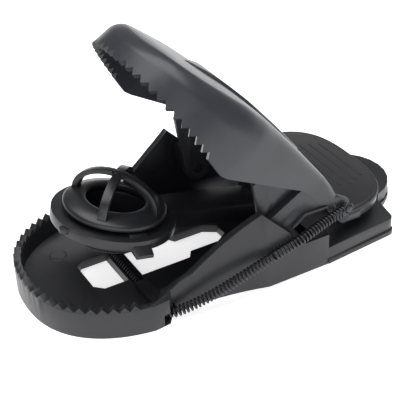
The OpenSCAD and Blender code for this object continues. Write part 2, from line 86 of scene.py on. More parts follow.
class Value:
    """A node's output socket that can be used in arithmetic."""

    def __init__(self, shader: "Shader", socket: bpy.types.NodeSocket) -> None:
        """Wraps a socket.

        Args:
            shader: the shader whose tree holds the socket.
            socket: the output socket.
        """
        self.shader = shader
        self.socket = socket

    def _maths(self, operation: str, *values: "Value | float") -> "Value":
        """Adds a Math node and returns its result."""
        return self.shader.node("ShaderNodeMath", {"operation": operation}, list(values))

    def __add__(self, other: "Value | float") -> "Value":
        """Sum."""
        return self._maths("ADD", self, other)

    __radd__ = __add__

    def __mul__(self, other: "Value | float") -> "Value":
        """Product."""
        return self._maths("MULTIPLY", self, other)

    __rmul__ = __mul__

    def __sub__(self, other: "Value | float") -> "Value":
        """Difference."""
        return self._maths("SUBTRACT", self, other)

    def __rsub__(self, other: "Value | float") -> "Value":
        """Difference with the socket on the right."""
        return self._maths("SUBTRACT", other, self)

    def band(self, low: float, high: float) -> "Value":
        """Rises from 0 to 1 between two values."""
        settings = {"interpolation_type": "SMOOTHSTEP"}
        values = {"Value": self, "From Min": low, "From Max": high}
        return self.shader.node("ShaderNodeMapRange", settings, values)


class Shader:
    """A material whose nodes are added one call at a time."""

    def __init__(self, name: str) -> None:
        """Starts a material with a Principled shader.

        Args:
            name: the material's name.
        """
        self.material = bpy.data.materials.new(name)
        self.material.use_nodes = True
        self.tree = self.material.node_tree
        self.bsdf = next(n for n in self.tree.nodes if n.type == "BSDF_PRINCIPLED")
        self.place = self.node("ShaderNodeTexCoord", {}, {}, "Object")

    def node(self, kind: str, settings: dict, values: dict | list, output: str | int = 0) -> Value:
        """Adds a node.

        Args:
            kind: the node's type.
            settings: properties of the node, set first.
            values: input sockets by name or in order, each a number, a tuple or a Value.
            output: name or number of the output that is returned.

        Returns:
            The chosen output, ready for arithmetic.
        """
        made = self.tree.nodes.new(kind)
        for key, value in settings.items():
            setattr(made, key, value)
        pairs = values.items() if isinstance(values, dict) else enumerate(values)
        for key, value in pairs:
            self.feed(made.inputs[key], value)
        return Value(self, made.outputs[output])

    def feed(self, socket: bpy.types.NodeSocket, value: "Value | float | tuple") -> None:
        """Sets or links one input socket."""
        if isinstance(value, Value):
            self.tree.links.new(value.socket, socket)
        else:
            socket.default_value = value

    def noise(self, per_mm: float, detail: float = 3.0, stretch: Point = (1, 1, 1)) -> Value:
        """Noise on the object's own coordinates.

        Args:
            per_mm: how many cells there are in a millimetre.
            detail: octaves of finer noise.
            stretch: scale along each axis.

        Returns:
            The noise, about 0 to 1.
        """
        mapped = self.node("ShaderNodeMapping", {}, {"Vector": self.place, "Scale": stretch})
        values = {"Vector": mapped, "Scale": per_mm / MM, "Detail": detail, "Roughness": 0.6}
        return self.node("ShaderNodeTexNoise", {}, values)

    def mix(self, factor: "Value | float", first: tuple, second: tuple) -> Value:
        """A colour between two colours."""
        made = self.tree.nodes.new("ShaderNodeMix")
        made.data_type = "RGBA"
        self.feed(made.inputs[0], factor)
        self.feed(made.inputs[6], first)
        self.feed(made.inputs[7], second)
        return Value(self, made.outputs[2])

    def bump(self, height: Value, depth_mm: float, strength: float = 1.0) -> None:
        """Feeds a height, in units of depth_mm, to the shader's normal."""
        values = {"Height": height, "Distance": depth_mm * MM, "Strength": strength}
        self.feed(self.bsdf.inputs["Normal"], self.node("ShaderNodeBump", {}, values))


@dataclass(frozen=True)
class Plastic:
    """Injection-moulded black plastic with a spark-eroded satin skin."""

    name: str
    colour: tuple = (0.0125, 0.0128, 0.016, 1.0)
    sheen_colour: tuple = (0.018, 0.0185, 0.023, 1.0)
    roughness: float = 0.36
    spread: float = 0.10
    grain_per_mm: float = 5.0
    grain_depth_mm: float = 0.012
    flow_per_mm: float = 0.05

    def build(self) -> bpy.types.Material:
        """Returns the material."""
        shader = Shader(self.name)
        flow = shader.noise(self.flow_per_mm, 2.0, (1.0, 0.45, 1.0))
        cloud = shader.noise(0.35, 4.0)
        grain = shader.noise(self.grain_per_mm, 2.0)
        specks = shader.noise(2.2, 1.0).band(0.72, 0.78)
        shade = (flow * 0.6 + cloud * 0.4).band(0.3, 0.7)
        colour = shader.mix(shade + specks * 0.12, self.colour, self.sheen_colour)
        shader.feed(shader.bsdf.inputs["Base Color"], colour)
        rough = self.roughness + (flow - 0.5) * self.spread + (cloud - 0.5) * self.spread
        rough = rough + (grain - 0.5) * 0.10
        shader.feed(shader.bsdf.inputs["Roughness"], rough + specks * 0.06)
        shader.bsdf.inputs["IOR"].default_value = 1.49
        shader.bump(grain + cloud * 0.8, self.grain_depth_mm)
        return shader.material


@dataclass(frozen=True)
class Steel:
    """Drawn steel wire or pin stock, bright or blackened."""

    name: str
    colour: tuple = (0.56, 0.56, 0.57, 1.0)
    dark: tuple = (0.36, 0.36, 0.37, 1.0)
    roughness: float = 0.28
    metallic: float = 1.0
    draw: Point = (0.05, 1.0, 1.0)

    def build(self) -> bpy.types.Material:
        """Returns the material."""
        shader = Shader(self.name)
        lines = shader.noise(6.0, 3.0, self.draw)
        film = shader.noise(0.5, 4.0)
        colour = shader.mix(film.band(0.35, 0.7), self.dark, self.colour)
        shader.feed(shader.bsdf.inputs["Base Color"], colour)
        rough = self.roughness + (lines - 0.5) * 0.16 + (film - 0.5) * 0.14
        shader.feed(shader.bsdf.inputs["Roughness"], rough)
        shader.bsdf.inputs["Metallic"].default_value = self.metallic
        shader.bump(lines, 0.008)
        return shader.material


class Finish(Enum):
    """The finishes of this trap. Each value is the finish and the record's material slot."""

    TRAY = (Plastic("tray_plastic"), "tray_black")
    # The jaw's colour and sheen colour are about twice as light as the tray's: painted light that stands in
    # for the light falling on the jaw's top and side.
    JAW = (
        Plastic(
            "jaw_plastic_painted_light",
            colour=(0.026, 0.0268, 0.034, 1.0),
            sheen_colour=(0.036, 0.037, 0.046, 1.0),
            roughness=0.33,
        ),
        "jaw_black",
    )
    PEDAL = (
        Plastic(
            "pedal_plastic",
            colour=(0.012, 0.0118, 0.0135, 1.0),
            sheen_colour=(0.017, 0.0165, 0.019, 1.0),
            roughness=0.52,
            spread=0.08,
            grain_per_mm=4.0,
            grain_depth_mm=0.02,
        ),
        "pedal_black",
    )
    TRIGGER = (Plastic("trigger_plastic", roughness=0.34), "trigger_black")
    TRUNNION = (Plastic("trunnion_plastic", roughness=0.4), "pin_black")
    PIN = (Steel("pin_steel"), "pin_steel")
    SPRING = (
        Steel(
            "spring_steel",
            colour=(0.18, 0.18, 0.19, 1.0),
            dark=(0.08, 0.08, 0.085, 1.0),
            roughness=0.26,
            metallic=0.9,
            draw=(1, 1, 1),
        ),
        "spring_steel",
    )

    def dress(self, obj: bpy.types.Object) -> bpy.types.Object:
        """Gives an object this finish's material.

        Args:
            obj: a mesh object.

        Returns:
            The same object.
        """
        finish, slot = self.value
        material = bpy.data.materials.get(finish.name) or finish.build()
        obj.data.materials.clear()
        obj.data.materials.append(material)
        return obj


# ---- Mesh helpers -----------------------------------------------------------------------------


class Workshop:
    """Turns outlines, profiles and CAD nodes into finished mesh objects."""

    @staticmethod
    def place(name: str, mesh: bpy.types.Mesh) -> bpy.types.Object:
        """Links a mesh as an object at the origin."""
        obj = bpy.data.objects.new(name, mesh)
        bpy.context.scene.collection.objects.link(obj)
        return obj

    @staticmethod
    def settle(obj: bpy.types.Object) -> bpy.types.Object:
        """Applies an object's modifiers and returns it as a plain mesh."""
        bpy.context.view_layer.update()
        evaluated = obj.evaluated_get(bpy.context.evaluated_depsgraph_get())
        mesh = bpy.data.meshes.new_from_object(evaluated)
        obj.modifiers.clear()
        if obj.type == "MESH":
            obj.data = mesh
            return obj
        name = obj.name
        bpy.data.objects.remove(obj)
        mesh.name = name
        return Workshop.place(name, mesh)

    @staticmethod
    def soften(
        obj: bpy.types.Object, width: float, segments: int = 2, angle: float = 32.0
    ) -> bpy.types.Object:
        """Rounds an object's sharp edges and shades it smooth.

        Args:
            obj: a mesh object.
            width: the rounding's width in millimetres.
            segments: faces across the rounding.
            angle: edges flatter than this stay as they are, in degrees.

        Returns:
            The object with the rounding applied.
        """
        bevel = obj.modifiers.new("round", "BEVEL")
        bevel.width = width * MM
        bevel.segments = segments
        bevel.limit_method = "ANGLE"
        bevel.angle_limit = math.radians(angle)
        bevel.use_clamp_overlap = True
        obj = Workshop.settle(obj)
        Workshop.smooth(obj, 38.0)
        return obj

    @staticmethod
    def smooth(obj: bpy.types.Object, angle: float) -> None:
        """Shades an object smooth, apart from edges sharper than an angle in degrees."""
        obj.data.polygons.foreach_set("use_smooth", [True] * len(obj.data.polygons))
        obj.data.set_sharp_from_angle(angle=math.radians(angle))

    @staticmethod
    def refined(frame: dict, node: str, width: float, segments: int = 2) -> bpy.types.Object:
        """A softened copy of a CAD node that stands for it.

        Args:
            node: the CAD node.
            width: the rounding's width in millimetres.
            segments: faces across the rounding.

        Returns:
            The new object.
        """
        work = bmesh.new()
        work.from_mesh(frame["nodes"][node].data)
        bmesh.ops.remove_doubles(work, verts=work.verts, dist=0.002 * MM)
        bmesh.ops.dissolve_limit(work, angle_limit=math.radians(0.8), verts=work.verts, edges=work.edges)
        mesh = bpy.data.meshes.new(node + "_look")
        work.to_mesh(mesh)
        work.free()
        obj = Workshop.soften(Workshop.place(node + "_look", mesh), width, segments)
        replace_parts(obj, node)
        return obj

    @staticmethod
    def from_faces(name: str, points: Sequence[Point], faces: Sequence[Sequence[int]]) -> bpy.types.Object:
        """A mesh object from points in millimetres, with doubles merged and faces outwards."""
        work = bmesh.new()
        verts = [work.verts.new([c * MM for c in p]) for p in points]
        for face in faces:
            if len(set(face)) > 2:
                work.faces.new([verts[k] for k in face])
        bmesh.ops.remove_doubles(work, verts=work.verts, dist=0.001 * MM)
        bmesh.ops.recalc_face_normals(work, faces=work.faces)
        mesh = bpy.data.meshes.new(name)
        work.to_mesh(mesh)
        work.free()
        return Workshop.place(name, mesh)

    @staticmethod
    def join(name: str, objects: Sequence[bpy.types.Object]) -> bpy.types.Object:
        """Joins several mesh objects into one."""
        work = bmesh.new()
        for obj in objects:
            work.from_mesh(obj.data)
            bpy.data.objects.remove(obj)
        mesh = bpy.data.meshes.new(name)
        work.to_mesh(mesh)
        work.free()
        return Workshop.place(name, mesh)

    @staticmethod
    def prism(
        name: str, outline: Sequence[Flat], low: float, high: float, across: bool = True
    ) -> bpy.types.Object:
        """A straight prism.

        Args:
            name: the object's name.
            outline: points in Y and Z if the prism runs across the trap, else in X and Y.
            low: where it starts, in millimetres.
            high: where it ends.
            across: True to run along X, False to stand along Z.

        Returns:
            The new object.
        """
        n = len(outline)
        ends = [[(h, a, b) if across else (a, b, h) for a, b in outline] for h in (low, high)]
        sides = [(k, (k + 1) % n, n + (k + 1) % n, n + k) for k in range(n)]
        return Workshop.from_faces(name, ends[0] + ends[1], sides + [list(range(n)), list(range(n, 2 * n))])

    @staticmethod
    def loops(name: str, rings: Sequence[Sequence[Point]], cap: bool = True) -> bpy.types.Object:
        """Closed rings of points joined one to the next, with both ends capped.

        Args:
            name: the object's name.
            rings: rings with the same number of points each.
            cap: False joins the last ring back to the first one.

        Returns:
            The new object.
        """
        n = len(rings[0])
        points = [p for ring in rings for p in ring]
        count = len(rings) if not cap else len(rings) - 1
        faces: list = []
        for j in range(count):
            a, b = j * n, ((j + 1) % len(rings)) * n
            faces += [(a + k, a + (k + 1) % n, b + (k + 1) % n, b + k) for k in range(n)]
        if cap:
            faces += [list(range(n)), list(range((len(rings) - 1) * n, len(rings) * n))]
        return Workshop.from_faces(name, points, faces)

    @staticmethod
    def mirrored(obj: bpy.types.Object) -> bpy.types.Object:
        """Adds an object's mirror image on the other side of the trap to its own mesh."""
        work = bmesh.new()
        work.from_mesh(obj.data)
        twin = bmesh.ops.duplicate(work, geom=work.verts[:] + work.edges[:] + work.faces[:])["geom"]
        verts = [g for g in twin if isinstance(g, bmesh.types.BMVert)]
        faces = [g for g in twin if isinstance(g, bmesh.types.BMFace)]
        for v in verts:
            v.co.x = -v.co.x
        bmesh.ops.reverse_faces(work, faces=faces)
        work.to_mesh(obj.data)
        work.free()
        return obj


class Tree:
    """A Geometry Nodes tree with named number inputs."""

    def __init__(self, name: str, inputs: dict[str, float]) -> None:
        """Starts a tree.

        Args:
            name: the tree's name.
            inputs: names and default values of its sizes, in metres or plain numbers.
        """
        self.group = bpy.data.node_groups.new(name, "GeometryNodeTree")
        face = self.group.interface
        face.new_socket(name="Geometry", in_out="INPUT", socket_type="NodeSocketGeometry")
        face.new_socket(name="Geometry", in_out="OUTPUT", socket_type="NodeSocketGeometry")
        for key, value in inputs.items():
            kind = "NodeSocketInt" if isinstance(value, int) else "NodeSocketFloat"
            face.new_socket(name=key, in_out="INPUT", socket_type=kind).default_value = value
        self.entry = self.group.nodes.new("NodeGroupInput")

    def node(self, kind: str, settings: dict, values: dict) -> bpy.types.Node:
        """Adds a node.

        Args:
            kind: the node's type.
            settings: properties of the node, set first.
            values: input sockets by name or number, each a value or an output socket.

        Returns:
            The node.
        """
        made = self.group.nodes.new(kind)
        for key, value in settings.items():
            setattr(made, key, value)
        for key, value in values.items():
            if isinstance(value, bpy.types.NodeSocket):
                self.group.links.new(value, made.inputs[key])
            else:
                made.inputs[key].default_value = value
        return made

    def maths(self, operation: str, first: object, second: object = 0.0) -> bpy.types.NodeSocket:
        """A Math node's result."""
        return self.node("ShaderNodeMath", {"operation": operation}, {0: first, 1: second}).outputs[0]

    def vector(self, operation: str, values: dict) -> bpy.types.NodeSocket:
        """A Vector Math node's result."""
        return self.node("ShaderNodeVectorMath", {"operation": operation}, values).outputs[0]

    def end(self, geometry: bpy.types.NodeSocket, material: bpy.types.Material) -> None:
        """Ends the tree in real geometry with a material."""
        real = self.node("GeometryNodeRealizeInstances", {}, {"Geometry": geometry})
        values = {"Geometry": real.outputs[0], "Material": material}
        dressed = self.node("GeometryNodeSetMaterial", {}, values)
        self.node("NodeGroupOutput", {}, {0: dressed.outputs[0]})

    def grow(self, obj: bpy.types.Object, sizes: dict[str, float]) -> bpy.types.Object:
        """Runs the tree on an object and returns the result as a plain mesh.

        Args:
            obj: the object the tree starts from.
            sizes: values for the tree's inputs by name.

        Returns:
            The finished mesh object.
        """
        modifier = obj.modifiers.new("grow", "NODES")
        modifier.node_group = self.group
        for item in self.group.interface.items_tree:
            if item.item_type == "SOCKET" and item.in_out == "INPUT" and item.name in sizes:
                modifier[item.identifier] = sizes[item.name]
        return Workshop.settle(obj)


def smooth_path(points: Sequence[Point], steps: int) -> list[Point]:
    """A smooth curve through points.

    Args:
        points: the points it passes, in millimetres.
        steps: how many pieces each stretch is cut into.

    Returns:
        Points along the curve.
    """
    ends = [points[0], *points, points[-1]]
    made: list[Point] = []
    for k in range(1, len(ends) - 2):
        a, b, c, d = (Vector(ends[k + j]) for j in (-1, 0, 1, 2))
        for step in range(steps):
            t = step / steps
            square, cube = 2 * a - 5 * b + 4 * c - d, 3 * b - a - 3 * c + d
            made.append(tuple(0.5 * (2 * b + (c - a) * t + square * t * t + cube * t**3)))
    return made + [tuple(points[-1])]


def table(stations: Sequence[Flat], at: float) -> float:
    """A value read from a short table of stations, along straight lines between them."""
    if at <= stations[0][0]:
        return stations[0][1]
    for (x0, y0), (x1, y1) in zip(stations, stations[1:]):
        if at <= x1:
            return y0 + (y1 - y0) * (at - x0) / (x1 - x0)
    return stations[-1][1]


# ---- Tray -------------------------------------------------------------------------------------


@dataclass
class Tray:
    """The toothed tray, the plate under its deck, and the pins pressed into it."""

    edge: float = 0.16
    plate_edge: float = 0.2
    floor_top: float = 2.2
    mark_place: Flat = (-11.4, -36.6)
    mark_radius: float = 2.1

    def build(self, frame: dict) -> None:
        """Builds and dresses the pieces.
        """
        tray = Finish.TRAY.dress(Workshop.refined(frame, "tray", self.edge))
        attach(tray, "tray")
        plate = Finish.TRAY.dress(Workshop.refined(frame, "rear_plate", self.plate_edge))
        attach(plate, "tray")
        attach(self.ejector_mark(), "tray")
        pins = {
            "hinge_pin_left": Finish.TRUNNION,
            "hinge_pin_right": Finish.TRUNNION,
            "trigger_pin": Finish.PIN,
        }
        for node, finish in pins.items():
            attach(finish.dress(Workshop.refined(frame, node, 0.15)), "tray")
        LOG.info("tray: tray, rear plate, pins")

    def ejector_mark(self) -> bpy.types.Object:
        """The faint raised ring that an ejector pin leaves on the floor."""
        x0, y0 = self.mark_place
        rings = []
        profile = ((1.0, -0.1), (1.0, 0.05), (0.96, 0.09), (0.88, 0.09), (0.84, 0.03), (0.84, -0.1))
        for radius, height in profile:
            r = self.mark_radius * radius
            turn = [math.tau * k / 40 for k in range(40)]
            z = self.floor_top + height
            rings.append([(x0 + r * math.cos(a), y0 + r * math.sin(a), z) for a in turn])
        mark = Workshop.loops("floor_mark", rings, cap=False)
        Workshop.smooth(mark, 50)
        return Finish.TRAY.dress(mark)


# ---- Jaw --------------------------------------------------------------------------------------


@dataclass
class Jaw:
    """The toothed jaw: domed shell, raised panel, cheeks, rails, sear bar and the spring's pegs."""

    hinge: Flat = (5.475, 9.4)
    open_angle: float = 60.5
    bowl_centre: float = -20.125
    bowl_half: Flat = (23.6, 29.5)
    bowl_power: float = 2.36
    corner_y: float = -23.325
    low: float = 7.05
    tooth_h: float = 1.3
    tooth_angle: float = 2.5
    front: int = 32
    toothed: int = 28
    side_end: float = 8.475
    cheek_x: float = 20.6
    cheek_t: float = 2.0
    thick: float = 1.4
    rear_y: float = 2.475
    pin_bore: float = 1.45
    boss_r: float = 3.4
    fine: int = 4
    ridge: tuple = (
        (-49.3, 13.7),
        (-47.0, 15.6),
        (-40.1, 17.8),
        (-28.6, 21.9),
        (-21.6, 23.7),
        (-10.6, 25.7),
        (2.475, 27.6),
    )
    ridge_drop: float = 0.14
    shoulder: tuple = ((-49.6, 2.0), (-37.6, 4.5), (-21.6, 6.5), (2.475, 2.0))
    edge: tuple = ((-23.325, 7.15), (-5.125, 18.2), (-1.625, 20.4), (5.475, 21.6), (8.475, 24.3))
    slim_x: float = 18.5
    slim_t: float = 1.3
    peg: Flat = (23.575, 12.4)
    peg_out: float = 22.3
    peg_r: float = 0.9
    panel_from: float = -35.5
    panel_to: float = 1.4
    panel_half: float = 9.2
    panel_rise: float = 0.75

    def swung(self, p: Point) -> Point:
        """Turns a point of the closed jaw to where it is with the jaw open."""
        a = math.radians(-self.open_angle)
        y, z = p[1] - self.hinge[0], p[2] - self.hinge[1]
        turned = (y * math.cos(a) - z * math.sin(a), y * math.sin(a) + z * math.cos(a))
        return (p[0], self.hinge[0] + turned[0], self.hinge[1] + turned[1])

    def bowl_point(self, angle: float, inset: float) -> Flat:
        """Point of the bowl's plan in a direction given in degrees."""
        a, b = self.bowl_half[0] - inset, self.bowl_half[1] - inset
        c, s = math.cos(math.radians(angle)), math.sin(math.radians(angle))
        r = (abs(c / a) ** self.bowl_power + abs(s / b) ** self.bowl_power) ** (-1 / self.bowl_power)
        return (r * c, self.bowl_centre + r * s)

    def rim(self, inset: float) -> list[Point]:
        """The closed shell's lower edge, from the left rear round the nose to the right rear."""
        front = []
        for k in range(-self.front * self.fine, self.front * self.fine + 1):
            m = k / self.fine
            x, y = self.bowl_point(270 + m * self.tooth_angle, inset + 0.3 * abs(m) / self.front)
            rise = 1 - abs((m + 1) % 2 - 1) if abs(m) < self.toothed - 1 else 0
            front.append((x, y, self.low + self.tooth_h * rise))
        side = []
        for k in range(1, 7 * self.fine + 1):
            t = k / (7 * self.fine)
            y = self.corner_y + (self.side_end - self.corner_y) * t
            wide = self.bowl_half[0] - 0.4
            x = wide + (self.cheek_x - wide) * min(1, t * 1.35) - inset
            side.append((x, y, table(self.edge, y)))
        return [(-x, y, z) for x, y, z in reversed(side)] + front + side

    def spine(self, y: float) -> float:
        """Place on the ridge line that a rib from rim place y runs up to."""
        if y > self.rear_y:
            return self.rear_y
        return self.bowl_centre + (y - self.bowl_centre) * 0.55 if y < self.bowl_centre else y

    def top(self, y: float) -> float:
        """Height of the ridge line, eased between its stations."""
        return sum(table(self.ridge, y + step) for step in (-1.6, -0.8, 0.0, 0.8, 1.6)) / 5 - self.ridge_drop

    def skin(self, inset: float, drop: float) -> list[list[Point]]:
        """Rows of points over the rim, from the rim to the ridge line."""
        line = self.rim(inset)
        rows = [line]
        turns = [90 * k / 9 for k in range(10)]
        shares = [0.75, 0.5, 0.25, 0.0]
        for turn in [*turns, *shares]:
            shared = turn in shares and len(rows) > len(turns)
            row = []
            for x, y, z in line:
                sy = self.spine(y)
                full = math.hypot(x, y - sy)
                r = sum(table(self.shoulder, y + step) for step in (-3, 0, 3)) / 3
                beta = math.radians(90 if shared else turn)
                d = r + (full - r) * (1 - turn) if shared else r * (1 - math.cos(beta))
                w = 1 - d / full
                qx, qy = x * w, sy + (y - sy) * w
                height = self.top(qy) - 0.9 * abs(w) ** 3 - drop
                lift = 0 if z > 24 else 0.3
                row.append((qx, qy, max(z + lift, height - r + r * math.sin(beta))))
            rows.append(row)
        return rows

    def shell(self) -> bpy.types.Object:
        """The shell between an outer and an inner skin, closed along its edges."""
        outer, inner = self.skin(0, 0), self.skin(self.thick, self.thick)
        n, count = len(outer[0]), len(outer)
        middle = (n - 1) // 2
        points = [self.swung(p) for skin in (outer, inner) for row in skin for p in row]
        for row in (count - 1, 2 * count - 1):
            for k in range(middle):
                points[row * n + n - 1 - k] = points[row * n + k]
        faces = []
        for skin in (0, 1):
            for row in range(count - 1):
                for k in range(n - 1):
                    a = (skin * count + row) * n + k
                    faces.append((a, a + 1, a + n + 1, a + n))
        size = count * n
        faces += [(k, k + 1, size + k + 1, size + k) for k in range(n - 1)]
        for end in (0, n - 1):
            for row in range(count - 1):
                a = row * n + end
                faces.append((a, a + n, size + a + n, size + a))
        obj = Workshop.from_faces("jaw_shell", points, faces)
        Workshop.smooth(obj, 40.0)
        return obj

    def panel(self) -> bpy.types.Object:
        """The plain raised panel along the top of the shell, pointed towards the nose."""
        rings = []
        steps = 44
        across = [-1, -0.985, -0.96, -0.92, -0.8, -0.55, -0.25, 0, 0.25, 0.55, 0.8, 0.92, 0.96, 0.985, 1]
        for j in range(steps + 1):
            t = 0.5 - 0.5 * math.cos(math.pi * j / steps)
            y = self.panel_from + (self.panel_to - self.panel_from) * t
            point = min(1.0, t / 0.50)
            wide = self.panel_half * math.sin(point * math.pi / 2) ** 0.85
            blunt = max(0.0, (t - 0.90) / 0.10)
            wide = max(wide * math.sqrt(max(0.0, 1 - blunt**2.6)), 0.02)
            ring = []
            for u in across:
                gap = min((1 - abs(u)) * wide, (t * 1.2) * 3 + 0.02, (1 - t) * 30 + 0.02)
                rise = self.panel_rise * min(1.0, gap / 0.55) ** 0.5
                x = u * wide
                ring.append((x, y, self.top(y) - 0.9 * (abs(x) / 22) ** 3 - 0.02 + rise))
            ring += [(u * wide, y, self.top(y) - 0.5) for u in reversed(across)]
            rings.append([self.swung(p) for p in ring])
        obj = Workshop.loops("jaw_panel", rings)
        Workshop.smooth(obj, 50.0)
        return obj

    def bored(self, name: str, outline: Sequence[Flat], low: float, high: float) -> bpy.types.Object:
        """A plate drawn closed, swung open, with the hinge bore through it and soft edges.

        Args:
            name: the object's name.
            outline: its outline in Y and Z.
            low: its inner face along X, in millimetres.
            high: its outer face.

        Returns:
            The new object.
        """
        opened = [self.swung((0.0, y, z))[1:] for y, z in outline]
        plate = Workshop.prism(name, opened, low, high)
        y, z = self.hinge
        turn = [math.radians(15 * k) for k in range(24)]
        round_bore = [(y + self.pin_bore * math.cos(a), z + self.pin_bore * math.sin(a)) for a in turn]
        plug = Workshop.prism("plug", round_bore, low - 1, high + 1)
        cut = plate.modifiers.new("bore", "BOOLEAN")
        cut.object = plug
        cut.solver = "EXACT"
        plate = Workshop.settle(plate)
        bpy.data.objects.remove(plug)
        return Workshop.soften(plate, 0.22)

    def cheek(self) -> bpy.types.Object:
        """One cheek: a slim plate all over, and a thick one where it is clear of the tray's waist."""
        y, z = self.hinge
        turn = [math.radians(a) for a in range(-122, 94, 12)]
        ring = [(y + self.boss_r * math.cos(a), z + self.boss_r * math.sin(a)) for a in turn]
        back = [(y - 0.9, z + 8.1), (y + 2.4, 23.3), (y + 3.2, 24.9)]
        slim = ring + back + [(y, 23.7), (-2.8, 21.5), (-11.2, 16.7), (-11.2, 12.1)]
        notch = [(-8.6, 18.0), (-5.1, 18.5), (-1.8, 20.6), (-1.8, z - 0.4)]
        thick = ring + back + [(y, 23.7), (-2.8, 21.5)] + notch
        plates = [
            self.bored("slim", slim, self.slim_x - self.slim_t, self.slim_x),
            self.bored("thick", thick, self.slim_x - 0.1, self.cheek_x - 0.2),
        ]
        strip = [(y - 0.2, z + 4.0), (y - 0.5, z + 8.1), (y + 2.6, 23.0)]
        strip += [(y + 1.8, 23.2), (y - 1.5, z + 8.4), (y - 1.1, z + 4.0)]
        opened = [self.swung((0.0, a, b))[1:] for a, b in strip]
        rib = Workshop.soften(Workshop.prism("strip", opened, self.cheek_x - 0.5, self.cheek_x + 0.35), 0.2)
        return Workshop.join("cheek", [*plates, rib])

    def frame_parts(self, pedal: "Pedal") -> bpy.types.Object:
        """Cheeks, rails, pegs, sear bar and pedal frame as one piece."""
        low = pedal.top - pedal.deep
        slab = pedal.top - pedal.tread
        front = pedal.front
        rail_y = front - 5.2
        inner = self.cheek_x - self.cheek_t
        side = [(rail_y, low + 1), (rail_y + 1, low), (front + 1, low)]
        side += [(front + 1, slab), (rail_y + 1.6, slab)]
        rail = Workshop.prism("rail", side, self.cheek_x - 3.4, pedal.half - 0.1)
        y, z = self.hinge
        web = [(rail_y, low + 1), (rail_y + 2.6, low + 1), (rail_y + 2.6, z + 4.4)]
        web += [(y + 15.9, z + 6.4), (y + 12, z + 6.4), (y + 12, z + 5)]
        post = Workshop.prism("post", web, inner, self.cheek_x - 0.25)
        parts = [self.cheek(), Workshop.soften(rail, 0.25), Workshop.soften(post, 0.2), self.peg_piece()]
        sides = Workshop.mirrored(Workshop.join("side", parts))
        made = Workshop.join("jaw_frame", [sides, self.bar(), pedal.skirt(low, slab)])
        Workshop.smooth(made, 38.0)
        return made

    def peg_piece(self) -> bpy.types.Object:
        """The side peg that the spring's eye hooks over, with a round head."""
        y, z = self.peg
        out = self.peg_out
        shape = [(self.peg_r, self.cheek_x - 1), (self.peg_r, out - 0.4)]
        shape += [(0.78, out - 0.15), (0.5, out), (0.02, out)]
        turn = [math.tau * k / 24 for k in range(24)]
        rings = [[(x, y + r * math.cos(a), z + r * math.sin(a)) for a in turn] for r, x in shape]
        return Workshop.loops("peg", rings)

    def bar(self) -> bpy.types.Object:
        """The round sear bar between the cheeks."""
        y, z = self.hinge[0] + 13, self.hinge[1] + 6.2
        turn = [math.tau * k / 28 for k in range(28)]
        half = self.slim_x
        rings = [[(x, y + 1.3 * math.cos(a), z + 1.3 * math.sin(a)) for a in turn] for x in (-half, half)]
        return Workshop.loops("bar", rings)

    def build(self, frame: dict) -> None:
        """Builds and dresses the pieces.
        """
        shell = Finish.JAW.dress(self.shell())
        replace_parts(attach(shell, "jaw"), "jaw")
        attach(Finish.JAW.dress(self.panel()), "jaw")
        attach(Finish.JAW.dress(self.frame_parts(Pedal())), "jaw")
        LOG.info("jaw: shell, panel, frame")


